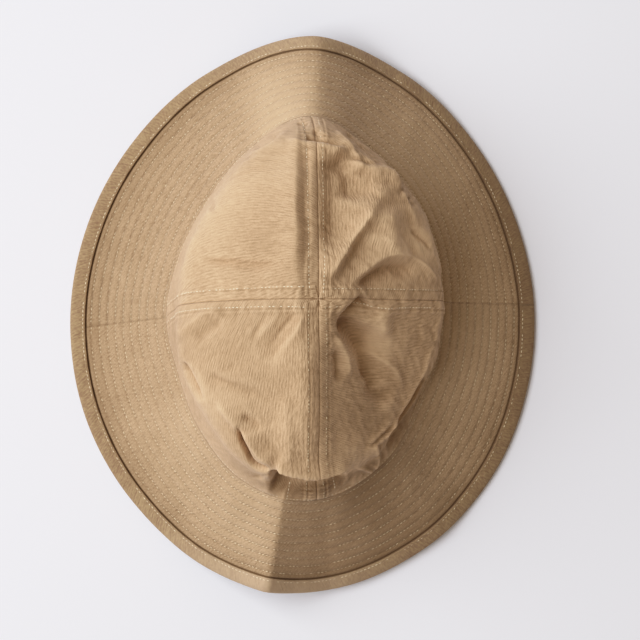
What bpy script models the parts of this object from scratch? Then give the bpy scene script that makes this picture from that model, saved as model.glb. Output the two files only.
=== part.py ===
"""A four-panel cotton twill fatigue hat with a wide stitched brim, lying brim down.

Metres, +Z up. +Y is the front of the hat and +X the wearer's right. The origin is on the
surface that the hat lies on, in the middle of its outline. Sizes below are in millimetres.

The hat is worked out round one upright line, the crown axis, where the four crown seams
cross. A clock angle is counted in the cloth: 0 is the right seam, 90 the front seam, 180 the
left seam and 270 the back seam. Swing says how far the cloth is turned from that angle.
"""

import math

import bpy
import numpy as np

MM = 0.001

# Driving dimensions
AXIS_X = 10.0
AXIS_Y = 9.06
APEX_HEIGHT = 111.0
PANEL_CLOTH = 1.2
BRIM_CLOTH = 2.2
BINDING_CLOTH = 0.9
BINDING_WIDTH = 9.0
BINDING_NOSE = 1.7
SEAM_GAP = 0.3
CROWN_CLEARANCE = 0.6
BINDING_CLEARANCE = 0.45

# How finely each piece is divided. The binding has the brim's own sections round the edge.
PANEL_STEPS = 18
BRIM_STEPS_ROUND = 46
BRIM_STEPS_ACROSS = 6
BINDING_STEPS_ROUND = 2 * BRIM_STEPS_ROUND

# One row for each section of the hat, a sixteenth of a turn apart. Reaches are from the crown
# axis and heights are from the surface: outline is the brim's outermost edge, seam is where
# crown meets brim, wall is the middle of the crown's side, shoulder is where it turns in and
# top is half way from there to the apex.
SECTION_COLUMNS = (
    "clock", "swing", "outline_reach", "edge_height", "brim_sag", "seam_reach", "seam_height",
    "wall_reach", "wall_height", "shoulder_reach", "shoulder_height", "top_reach", "top_height",
)
SECTION_ROWS = (
    (0.0, -1.0, 131.0, 1.7, 2.0, 72.5, 31.0, 73.0, 52.0, 70.0, 68.0, 33.0, 95.0),
    (22.5, -0.5, 129.5, 1.7, 2.0, 75.0, 34.0, 74.5, 58.0, 70.5, 75.0, 32.0, 98.0),
    (45.0, 0.8, 135.0, 1.8, 1.5, 82.0, 40.0, 79.5, 65.0, 75.0, 81.0, 33.0, 100.0),
    (67.5, 2.0, 147.0, 5.0, 1.0, 92.0, 48.0, 87.5, 73.0, 83.0, 87.0, 38.0, 103.0),
    (90.0, 2.5, 158.3, 12.0, 1.0, 107.0, 57.0, 99.0, 80.0, 87.0, 93.0, 43.0, 107.0),
    (112.5, 3.1, 154.0, 4.0, 3.0, 97.5, 44.0, 93.5, 72.0, 86.5, 90.0, 41.0, 109.0),
    (135.0, 4.5, 149.0, 1.8, 5.0, 88.5, 35.0, 85.0, 64.0, 79.0, 86.0, 37.0, 107.5),
    (157.5, 5.9, 148.5, 1.7, 6.0, 87.5, 31.0, 83.0, 60.0, 76.0, 84.0, 35.0, 107.0),
    (180.0, 6.5, 152.5, 1.7, 6.0, 91.5, 30.0, 84.5, 58.0, 77.0, 85.0, 34.0, 108.5),
    (202.5, 5.4, 159.5, 1.7, 6.0, 94.5, 33.0, 88.0, 60.0, 85.0, 88.0, 38.0, 109.0),
    (225.0, 2.9, 167.0, 3.0, 5.0, 104.5, 39.0, 95.0, 65.0, 90.0, 91.0, 42.0, 109.0),
    (247.5, 0.3, 175.0, 6.0, 2.5, 115.5, 44.5, 106.0, 68.0, 100.5, 88.0, 45.0, 108.0),
    (270.0, -0.8, 176.3, 6.0, 1.0, 117.5, 48.0, 108.5, 66.0, 99.5, 87.0, 46.0, 105.0),
    (292.5, -0.8, 164.5, 1.8, 1.0, 103.5, 41.0, 95.5, 54.0, 91.0, 66.0, 43.0, 91.0),
    (315.0, -0.9, 150.5, 1.7, 1.5, 85.0, 36.0, 82.5, 43.5, 79.0, 51.0, 36.0, 84.5),
    (337.5, -1.0, 138.0, 1.7, 2.0, 76.5, 33.0, 76.5, 46.0, 74.0, 57.0, 34.0, 87.0),
)
# How far down the cloth from the apex, as a share, each of the profile's heights lies.
TOP_AT, SHOULDER_AT, WALL_AT = 0.28, 0.58, 0.79

# The brim's folds run outwards along a clock angle: how high each stands at the seam and at
# the edge, how many degrees it is wide on either side, and how crisp its crest is. Where a
# fold begins at the seam, the crown's lower edge rises with it.
BRIM_FOLD_COLUMNS = (
    "clock", "lift_at_seam", "lift_at_edge", "width_before", "width_after", "crispness",
)
BRIM_FOLD_ROWS = (
    (87.5, 3.0, 10.0, 14.0, 12.0, 0.5),
    (260.3, 9.0, 19.0, 20.0, 11.0, 0.85),
    (298.0, 4.0, 3.0, 14.0, 9.0, 0.2),
)

# The crown's folds, each along a curve through four places seen from above: how far it
# stands out of the cloth (less than nothing for a valley), how wide it is to the left and to
# the right of someone walking along it, how crisp it is, and how it fades at either end.
CROWN_FOLD_COLUMNS = (
    "x1", "y1", "x2", "y2", "x3", "y3", "x4", "y4",
    "lift", "left_width", "right_width", "crispness", "fade_in", "fade_out",
)
CROWN_FOLD_ROWS = (
    # the crest from brow to back, and the valley that runs beside the front seam
    (-2, 92, -2, 38, 0, -18, 2, -86, 4.2, 12, 20, 0.3, 0.15, 0.12),
    (16, 92, 17.5, 72, 18, 54, 16.5, 32, -4.6, 12, 10, 0.1, 0.15, 0.25),
    # front right panel: a hollow, a bump of its wall, and two ridges towards the side
    (24, 94, 28, 85, 30.5, 76, 29, 65, -3.8, 6, 9, 0.35, 0.15, 0.40),
    (58, 70, 63, 70, 69, 63, 75, 50, 3.0, 5, 5, 0.4, 0.20, 0.30),
    (16, 20, 23, 35, 32, 50, 47, 74, 4.6, 10, 6, 0.4, 0.08, 0.60),
    (28.5, 17, 38, 28.5, 50, 37.5, 61, 36, 4.2, 10, 6, 0.4, 0.15, 0.20),
    (31, 14, 42, 23, 54, 29.5, 66, 29, -4.2, 5, 7, 0.2, 0.20, 0.25),
    # back right panel: a winding hollow from the cross, and the fold that hangs over its wall
    (33, 7, 29, 2, 27, -5, 29, -13, -6.5, 12, 7, 0.35, 0.35, 0.30),
    (27.5, -5, 31.5, -15, 35.5, -24, 39.5, -38, -6.5, 12, 7, 0.3, 0.30, 0.35),
    (19, -11, 24, -19.5, 28.5, -29, 27.5, -42, 3.0, 5, 5, 0.4, 0.20, 0.25),
    (75, -19, 68, -40, 55, -62, 39, -78, 2.4, 5, 5, 0.6, 0.15, 0.12),
    (75, -31, 67, -49, 57, -65.3, 47, -79, -3.6, 6, 5, 0.4, 0.30, 0.20),
    # back left panel: a shallow valley, a long one, and the edge that folds over its wall
    (0, 4, -7, -6, -13, -16, -19, -26, -3.4, 5, 15, 0.0, 0.25, 0.30),
    (-55, -33.5, -43, -38, -31.7, -42, -16, -46.5, -2.6, 5, 7, 0.3, 0.20, 0.30),
    (-68.5, -25.5, -63.5, -31.5, -59, -39, -54.5, -46.5, -3.6, 4, 5, 0.4, 0.15, 0.20),
    # the deep crease with the pouch beside it, then the lip over the back wall
    (-36.5, -63, -34, -73, -29.5, -81, -21.5, -86.5, -6.0, 4, 4, 0.5, 0.12, 0.15),
    (-34, -63, -30.5, -71.5, -25, -79, -17.5, -84, 3.4, 9, 5, 0.4, 0.15, 0.20),
    (-15, -87, -5, -91, 9.6, -92, 29, -88, 5.0, 8, 4, 0.5, 0.12, 0.12),
    (-17, -94, -5.4, -96.5, 9.6, -97, 26, -93.5, -4.0, 4, 5, 0.4, 0.08, 0.12),
)
FOLD_LINE_POINTS = 14
FOLD_FADES_FROM = 0.93
# On an upright wall a fold moves the cloth sideways only, so it stands out less there.
LIFT_ON_A_WALL = 0.35

KHAKI = (0.50, 0.37, 0.24, 1.0)
KHAKI_BRIM = (0.46, 0.34, 0.22, 1.0)
KHAKI_BINDING = (0.42, 0.31, 0.20, 1.0)
CLOTH_ROUGHNESS = 0.85

SECTIONS = dict(zip(SECTION_COLUMNS, np.array(SECTION_ROWS).T))
SECTION_STEP = 360.0 / len(SECTION_ROWS)


def around(column, clock):
    """A section column at any clock angle, on a smooth closed curve through its rows."""
    values = SECTIONS[column]
    place = np.asarray(clock, float) / SECTION_STEP
    row = np.floor(place).astype(int)
    t = place - row
    before, here, after, beyond = (values[(row + k) % len(values)] for k in (-1, 0, 1, 2))
    slope_here = (after - before) / 2
    slope_after = (beyond - here) / 2
    return hermite(here, after, slope_here, slope_after, t)


def hermite(start, end, start_slope, end_slope, t):
    """The cubic from start to end with these slopes, at t from 0 to 1."""
    rise = t * t * (3 - 2 * t)
    return (
        start * (1 - rise)
        + end * rise
        + start_slope * t * (1 - t) ** 2
        - end_slope * t * t * (1 - t)
    )


def smooth_line(stations, values, at):
    """A smooth curve through values at rising stations; each value may be an array."""
    stations = np.asarray(stations, float)
    table = np.stack(np.broadcast_arrays(*values, at)[:-1])
    steps = np.diff(stations)[:, None]
    chords = np.diff(table, axis=0) / steps
    slopes = np.empty_like(table)
    slopes[0] = chords[0]
    slopes[-1] = chords[-1]
    slopes[1:-1] = (chords[:-1] * steps[1:] + chords[1:] * steps[:-1]) / (steps[:-1] + steps[1:])
    span = np.clip(np.searchsorted(stations, at, side="right") - 1, 0, len(stations) - 2)
    each = np.arange(len(span))
    width = steps[span, 0]
    t = (at - stations[span]) / width
    return hermite(
        table[span, each],
        table[span + 1, each],
        slopes[span, each] * width,
        slopes[span + 1, each] * width,
        t,
    )


def ease(low, high, value):
    """0 up to low, 1 from high, and smooth between them."""
    t = np.clip((value - low) / (high - low), 0.0, 1.0)
    return t * t * (3 - 2 * t)


def crest(distance, crispness):
    """A fold's cross-section: 1 on its line, falling to 0 about one and a half widths away."""
    soft = np.exp(-2.0 * distance**2)
    sharp = np.exp(-2.4 * (np.sqrt(distance**2 + 0.01) - 0.1)) * (1 - ease(0.9, 1.7, distance))
    return soft + (sharp - soft) * crispness


def fold_line(fold):
    """Points along a fold's line, seen from above, smoothly through the four of its row."""
    share = np.linspace(0.0, 3.0, FOLD_LINE_POINTS)
    stops = (0.0, 1.0, 2.0, 3.0)
    ways = (tuple(fold[f"{way}{stop}"] for stop in (1, 2, 3, 4)) for way in ("x", "y"))
    return np.stack([smooth_line(stops, values, share) for values in ways])


def fold_profile(fold, line, x, y):
    """One fold's lift at places seen from above, from their distances to its line."""
    start, step = line[:, :-1, None], np.diff(line)[:, :, None]
    away_x, away_y = x - start[0], y - start[1]
    length = (step**2).sum(axis=0)
    along = np.clip((away_x * step[0] + away_y * step[1]) / length, 0.0, 1.0)
    off_x, off_y = away_x - along * step[0], away_y - along * step[1]
    distance = np.hypot(off_x, off_y)
    nearest = distance.argmin(axis=0)
    each = np.arange(len(x))
    distance = distance[nearest, each]
    side = step[0][nearest, 0] * off_y[nearest, each] - step[1][nearest, 0] * off_x[nearest, each]
    sideways = side / (np.sqrt(length[nearest, 0]) * np.maximum(distance, 1e-6))
    leaning = ease(-0.5, 0.5, sideways)
    width = fold["right_width"] + (fold["left_width"] - fold["right_width"]) * leaning
    share = (nearest + along[nearest, each]) / step.shape[1]
    body = ease(-0.02, fold["fade_in"], share) * ease(-0.02, fold["fade_out"], 1.0 - share)
    return fold["lift"] * body * crest(distance / width, fold["crispness"])


def fold_lift(x, y):
    """How far the crown's folds push the cloth outwards at a place seen from above."""
    lift = np.zeros_like(x)
    for row in CROWN_FOLD_ROWS:
        fold = dict(zip(CROWN_FOLD_COLUMNS, row))
        line = fold_line(fold)
        reach = 2.2 * max(fold["left_width"], fold["right_width"])
        low, high = line.min(axis=1) - reach, line.max(axis=1) + reach
        near = (x > low[0]) & (x < high[0]) & (y > low[1]) & (y < high[1])
        if near.any():
            lift[near] += fold_profile(fold, line, x[near], y[near])
    return lift


def brim_fold_lift(clock, out):
    """How far the brim's folds raise it: out is 0 at the crown seam and 1 at the edge."""
    lift = np.zeros_like(clock)
    for row in BRIM_FOLD_ROWS:
        fold = dict(zip(BRIM_FOLD_COLUMNS, row))
        off = (clock - fold["clock"] + 180.0) % 360.0 - 180.0
        near = np.abs(off) / np.where(off < 0, fold["width_before"], fold["width_after"])
        soft = np.exp(-(near**2) * 2)
        crisp = np.clip(1.0 - near / 1.4, 0.0, 1.0) ** 1.2
        shape = soft + (crisp - soft) * fold["crispness"]
        lift += shape * (fold["lift_at_seam"] * (1 - out) + fold["lift_at_edge"] * out)
    return lift


def crown_base(across, along):
    """The crown's cloth without its folds. (0, 0) is the apex and a length of 1 the seam."""
    clock = np.degrees(np.arctan2(along, across)) % 360.0
    down = np.hypot(across, along)
    stations = (0.0, TOP_AT, SHOULDER_AT, WALL_AT, 1.0)
    reaches = (
        np.zeros_like(down),
        around("top_reach", clock),
        around("shoulder_reach", clock),
        around("wall_reach", clock),
        around("seam_reach", clock) - CROWN_CLEARANCE,
    )
    heights = (
        np.full_like(down, APEX_HEIGHT),
        around("top_height", clock),
        around("shoulder_height", clock),
        around("wall_height", clock),
        around("seam_height", clock) + brim_fold_lift(clock, 0.0) - BRIM_CLOTH / 2,
    )
    reach = smooth_line(stations, reaches, down)
    height = smooth_line(stations, heights, down)
    height = APEX_HEIGHT + (height - APEX_HEIGHT) * ease(0.0, TOP_AT, down)
    turn = np.radians(clock + around("swing", clock) * down**2)
    return np.stack((AXIS_X + reach * np.cos(turn), AXIS_Y + reach * np.sin(turn), height))


def outward(surface, first, second, step=0.004):
    """The unit normals of a surface that takes two coordinates, pointing up or outwards."""
    by_first = surface(first + step, second) - surface(first - step, second)
    by_second = surface(first, second + step) - surface(first, second - step)
    normal = np.cross(by_first.T, by_second.T).T
    return normal / np.linalg.norm(normal, axis=0)


def crown_cloth(across, along):
    """The outside of the crown with its folds, which die away towards the seam."""
    bare = crown_base(across, along)
    down = np.hypot(across, along)
    normal = outward(crown_base, across, along)
    fade = 1.0 - ease(FOLD_FADES_FROM, 1.0, down)
    fade *= LIFT_ON_A_WALL + (1.0 - LIFT_ON_A_WALL) * ease(0.05, 0.5, normal[2])
    return bare + normal * fold_lift(bare[0], bare[1]) * fade


def brim_middle(clock, out):
    """The middle of the brim's cloth: out is 0 at the crown seam and 1 at the edge."""
    inner = around("seam_reach", clock)
    outer = around("outline_reach", clock) - BINDING_NOSE
    low = around("edge_height", clock)
    high = around("seam_height", clock)
    reach = inner + (outer - inner) * out
    height = high + (low - high) * out - around("brim_sag", clock) * 4 * out * (1 - out)
    height = height + brim_fold_lift(clock, out)
    turn = np.radians(clock + around("swing", clock))
    return np.stack((AXIS_X + reach * np.cos(turn), AXIS_Y + reach * np.sin(turn), height))


def brim_face(clock, out, lift):
    """A point above or below the brim's middle. The inner edge is cut upright."""
    middle = brim_middle(clock, out)
    normal = -outward(brim_middle, clock, out)
    upright = np.zeros_like(normal)
    upright[2] = 1.0
    way = upright + (normal - upright) * ease(0.0, 0.3, out)
    way = way / np.linalg.norm(way, axis=0)
    return middle + way * lift / (way * normal).sum(axis=0)


def brim_rim(clock, beyond, lift):
    """A point past the brim's edge: beyond it in the brim's own slope, and above it."""
    edge = np.ones_like(clock)
    middle = brim_middle(clock, edge)
    slope = middle - brim_middle(clock, edge - 0.01)
    slope = slope / np.linalg.norm(slope, axis=0)
    return middle + slope * beyond - outward(brim_middle, clock, edge) * lift


def add_object(name, points, faces, material):
    """An object with this mesh, placed at the origin and shaded smooth up to 40 degrees."""
    mesh = bpy.data.meshes.new(name)
    mesh.from_pydata((np.asarray(points) * MM).tolist(), [], faces)
    mesh.validate()
    mesh.materials.append(material)
    mesh.shade_smooth()
    mesh.set_sharp_from_angle(angle=math.radians(40))
    piece = bpy.data.objects.new(name, mesh)
    bpy.context.collection.objects.link(piece)
    return piece


def cloth_material(name, colour):
    """Plain matt cotton."""
    material = bpy.data.materials.new(name)
    material.use_nodes = True
    shader = material.node_tree.nodes["Principled BSDF"]
    shader.inputs["Base Color"].default_value = colour
    shader.inputs["Roughness"].default_value = CLOTH_ROUGHNESS
    shader.inputs["Metallic"].default_value = 0.0
    return material


def slab_faces(rows, columns):
    """Faces of a closed slab: an outer grid of points, then an inner grid of the same size."""
    inner = rows * columns
    faces = []

    def cell(row, column):
        return row * columns + column

    for row in range(rows - 1):
        for column in range(columns - 1):
            quad = (
                cell(row, column),
                cell(row, column + 1),
                cell(row + 1, column + 1),
                cell(row + 1, column),
            )
            faces.append(quad)
            faces.append(tuple(corner + inner for corner in reversed(quad)))
    border = [cell(0, column) for column in range(columns)]
    border += [cell(row, columns - 1) for row in range(1, rows)]
    border += [cell(rows - 1, column) for column in range(columns - 2, -1, -1)]
    border += [cell(row, 0) for row in range(rows - 2, 0, -1)]
    for here, there in zip(border, border[1:] + border[:1]):
        faces.append((there, here, here + inner, there + inner))
    return faces


def crown_panel(name, side_x, side_y):
    """One quarter of the crown: an even grid from the apex to the seam, and a layer inside."""
    share = np.linspace(0.0, 1.0, PANEL_STEPS + 1)
    first, second = (grid.ravel() for grid in np.meshgrid(share, share, indexing="ij"))
    down = np.maximum(first, second)
    ratio = np.minimum(first, second) / np.maximum(down, 1e-9)
    turn = np.where(first >= second, ratio, 2.0 - ratio) * math.pi / 4
    across = side_x * down * np.cos(turn)
    along = side_y * down * np.sin(turn)
    outside = crown_cloth(across, along)
    inside = outside - outward(crown_cloth, across, along) * PANEL_CLOTH
    points = np.concatenate((outside, inside), axis=1)
    points[0] += side_x * SEAM_GAP / 2
    points[1] += side_y * SEAM_GAP / 2
    faces = slab_faces(PANEL_STEPS + 1, PANEL_STEPS + 1)
    if side_x * side_y > 0:
        faces = [tuple(reversed(face)) for face in faces]
    return add_object(name, points.T, faces, cloth_material(f"{name}_twill", KHAKI))


def round_clocks(first, last, steps):
    """Clock angles at even steps, the nearest one moved to the crest of each brim fold."""
    clocks = np.linspace(first, last, steps + 1)
    for row in BRIM_FOLD_ROWS:
        crest_clock = row[0]
        if first < crest_clock < last:
            clocks[np.abs(clocks - crest_clock).argmin()] = crest_clock
    return clocks


def brim_half(name, first_clock, side_y):
    """Half of the brim, from one side seam to the other."""
    clocks = round_clocks(first_clock, first_clock + 180.0, BRIM_STEPS_ROUND)
    outs = np.linspace(0.0, 1.0, BRIM_STEPS_ACROSS + 1)
    clock, out = (grid.ravel() for grid in np.meshgrid(clocks, outs, indexing="ij"))
    over = brim_face(clock, out, BRIM_CLOTH / 2)
    under = brim_face(clock, out, -BRIM_CLOTH / 2)
    points = np.concatenate((over, under), axis=1)
    points[1] += side_y * SEAM_GAP / 2
    faces = slab_faces(BRIM_STEPS_ROUND + 1, BRIM_STEPS_ACROSS + 1)
    return add_object(name, points.T, faces, cloth_material(f"{name}_twill", KHAKI_BRIM))


def edge_binding(name):
    """The strip folded over the brim's edge, flattened where it meets the surface."""
    clock = round_clocks(0.0, 360.0, BINDING_STEPS_ROUND)[:-1]
    inside = BRIM_CLOTH / 2 + BINDING_CLEARANCE
    outside = inside + BINDING_CLOTH
    length = np.linalg.norm(brim_middle(clock, np.ones_like(clock)) - brim_middle(clock, 0 * clock), axis=0)
    leg = 1.0 - BINDING_WIDTH / length
    half_leg = 1.0 - BINDING_WIDTH / length / 2
    shoulder = outside * 0.62
    ring = [
        brim_face(clock, leg, outside),
        brim_face(clock, half_leg, outside),
        brim_rim(clock, 0.0, outside),
        brim_rim(clock, BINDING_NOSE * 0.75, shoulder),
        brim_rim(clock, BINDING_NOSE, 0.0),
        brim_rim(clock, BINDING_NOSE * 0.75, -shoulder),
        brim_rim(clock, 0.0, -outside),
        brim_face(clock, half_leg, -outside),
        brim_face(clock, leg, -outside),
        brim_face(clock, leg, -inside),
        brim_face(clock, half_leg, -inside),
        brim_rim(clock, BINDING_CLEARANCE, -inside),
        brim_rim(clock, BINDING_CLEARANCE, inside),
        brim_face(clock, half_leg, inside),
        brim_face(clock, leg, inside),
    ]
    points = np.stack(ring, axis=1).reshape(3, -1)
    points[2] = np.maximum(points[2], 0.0)
    faces = []
    for stop in range(len(ring)):
        after = (stop + 1) % len(ring)
        for step in range(BINDING_STEPS_ROUND):
            beyond = (step + 1) % BINDING_STEPS_ROUND
            faces.append(
                (
                    stop * BINDING_STEPS_ROUND + step,
                    after * BINDING_STEPS_ROUND + step,
                    after * BINDING_STEPS_ROUND + beyond,
                    stop * BINDING_STEPS_ROUND + beyond,
                )
            )
    return add_object(name, points.T, faces, cloth_material(f"{name}_twill", KHAKI_BINDING))


def main():
    for old in list(bpy.data.objects):
        bpy.data.objects.remove(old, do_unlink=True)
    crown_panel("crown_front_right", 1, 1)
    crown_panel("crown_front_left", -1, 1)
    crown_panel("crown_back_left", -1, -1)
    crown_panel("crown_back_right", 1, -1)
    brim_half("brim_front", 0.0, 1)
    brim_half("brim_back", 180.0, -1)
    edge_binding("edge_binding")


main()
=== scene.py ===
# %% [markdown]
# # A cotton twill fatigue hat, dressed
#
# The hat lies brim down on a pale table, seen from straight above. Its solids are already
# packed: four crown panels, two brim halves and the binding round the edge. This script
# gives each its cloth: the folds that the crown has sunk into, the pressed seams, the rows
# of stitches and the twill. The first cell loads the solids and keeps the box they fill.

import math

import bpy
import numpy as np
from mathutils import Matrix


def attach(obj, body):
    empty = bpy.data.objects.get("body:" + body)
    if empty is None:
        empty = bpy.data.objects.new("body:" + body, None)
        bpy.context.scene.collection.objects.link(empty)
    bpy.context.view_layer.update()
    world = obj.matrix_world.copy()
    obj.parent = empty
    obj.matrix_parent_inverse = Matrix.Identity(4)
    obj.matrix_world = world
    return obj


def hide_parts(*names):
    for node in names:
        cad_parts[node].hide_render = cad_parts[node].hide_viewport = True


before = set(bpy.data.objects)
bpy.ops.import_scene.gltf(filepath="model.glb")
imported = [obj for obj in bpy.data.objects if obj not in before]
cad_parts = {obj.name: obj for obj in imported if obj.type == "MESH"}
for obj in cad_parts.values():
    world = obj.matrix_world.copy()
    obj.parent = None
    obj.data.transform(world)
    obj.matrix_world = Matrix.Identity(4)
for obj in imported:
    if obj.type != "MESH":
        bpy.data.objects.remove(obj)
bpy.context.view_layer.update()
print("nodes:", ", ".join(sorted(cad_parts)))

# %% [markdown]
# ## Where the hat is, and how it is measured
#
# A clock angle of 0 is the hat's right seam, 90 its front seam, 180 the left and 270 the
# back. Everything is worked out in millimetres round the crown axis, the upright line through
# the cross of the four seams, and turned into metres when a mesh is made.

# %% Sizes
MM = 0.001
AXIS_X, AXIS_Y = 10.0, 9.06
APEX_HEIGHT = 111.0
PANEL_CLOTH = 1.2
BRIM_CLOTH = 2.2
BINDING_CLOTH = 0.9
BINDING_WIDTH = 9.0
BINDING_NOSE = 1.7
SEAM_GAP = 0.04
CROWN_CLEARANCE = 0.05
CROWN_FOOT = 1.15
BINDING_CLEARANCE = 0.45

# One row for each section of the hat, a sixteenth of a turn apart. Reaches are from the crown
# axis and heights are from the table: outline is the brim's outermost edge, seam is where
# crown meets brim, wall is the middle of the crown's side and shoulder is where it turns in.
SECTION_COLUMNS = (
    "clock", "swing", "outline_reach", "edge_height", "brim_sag", "seam_reach", "seam_height",
    "wall_reach", "wall_height", "shoulder_reach", "shoulder_height", "top_reach", "top_height",
)
SECTION_ROWS = (
    (0, -1, 131, 1.7, 2, 72.5, 30, 73, 48, 69, 62, 33, 92.5),
    (22.5, -0.5, 129.5, 1.7, 2, 75, 33, 74.5, 54, 70, 70, 32, 96.5),
    (45, 0.8, 135, 1.8, 1.5, 82, 40, 79.5, 65, 75, 81, 33, 100),
    (67.5, 2, 147, 5, 1, 92, 48, 87.5, 73, 83, 87, 38, 103),
    (90, 2.5, 158.3, 12, 1, 107, 57, 99, 80, 87, 93, 43, 107),
    (112.5, 3.1, 154, 4, 3, 97.5, 44, 93.5, 72, 86.5, 90, 41, 109),
    (135, 4.5, 149, 1.8, 5, 88.5, 35, 85, 64, 79, 86, 37, 107.5),
    (157.5, 5.9, 148.5, 1.7, 6, 87.5, 31, 83, 60, 76, 84, 35, 107),
    (180, 6.5, 152.5, 1.7, 6, 91.5, 30, 84.5, 58, 77, 85, 34, 108.5),
    (202.5, 5.4, 159.5, 1.7, 6, 94.5, 33, 88, 60, 85, 88, 38, 109),
    (225, 2.9, 167, 3, 5, 104.5, 39, 95, 65, 90, 91, 42, 109),
    (247.5, 0.3, 175, 6, 2.5, 115.5, 44.5, 106, 68, 100.5, 88, 45, 108),
    (270, -0.8, 176.3, 6, 1, 117.5, 48, 109, 61, 95.5, 87, 46, 105),
    (292.5, -0.8, 164.5, 1.8, 1, 103.5, 41, 95.5, 54, 91, 66, 43, 91),
    (315, -0.9, 150.5, 1.7, 1.5, 85, 35, 82.5, 42.5, 79, 50, 36, 83.5),
    (337.5, -1, 138, 1.7, 2, 76.5, 31.5, 76.5, 43, 73.5, 53, 34, 85.5),
)
# How far down the cloth from the apex, as a share, each of the profile's heights lies.
TOP_AT, SHOULDER_AT, WALL_AT = 0.28, 0.58, 0.79
PROFILE_LENGTH = 140.0

SECTIONS = dict(zip(SECTION_COLUMNS, np.array(SECTION_ROWS).T))
SECTION_STEP = 360.0 / len(SECTION_ROWS)
print("sections:", len(SECTION_ROWS))

# %% [markdown]
# ## Folds are rows of a table
#
# Nobody can type a crumpled crown point by point. Each fold is instead one row: a bowed line
# seen from above, how far the cloth stands out along it, and how wide it is to the left and
# right of it. A negative lift is a valley. Crispness 0 gives a soft round fold and 1 a sharp
# crest, as in pressed twill. One table drives all four panels, so folds cross seams.

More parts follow.
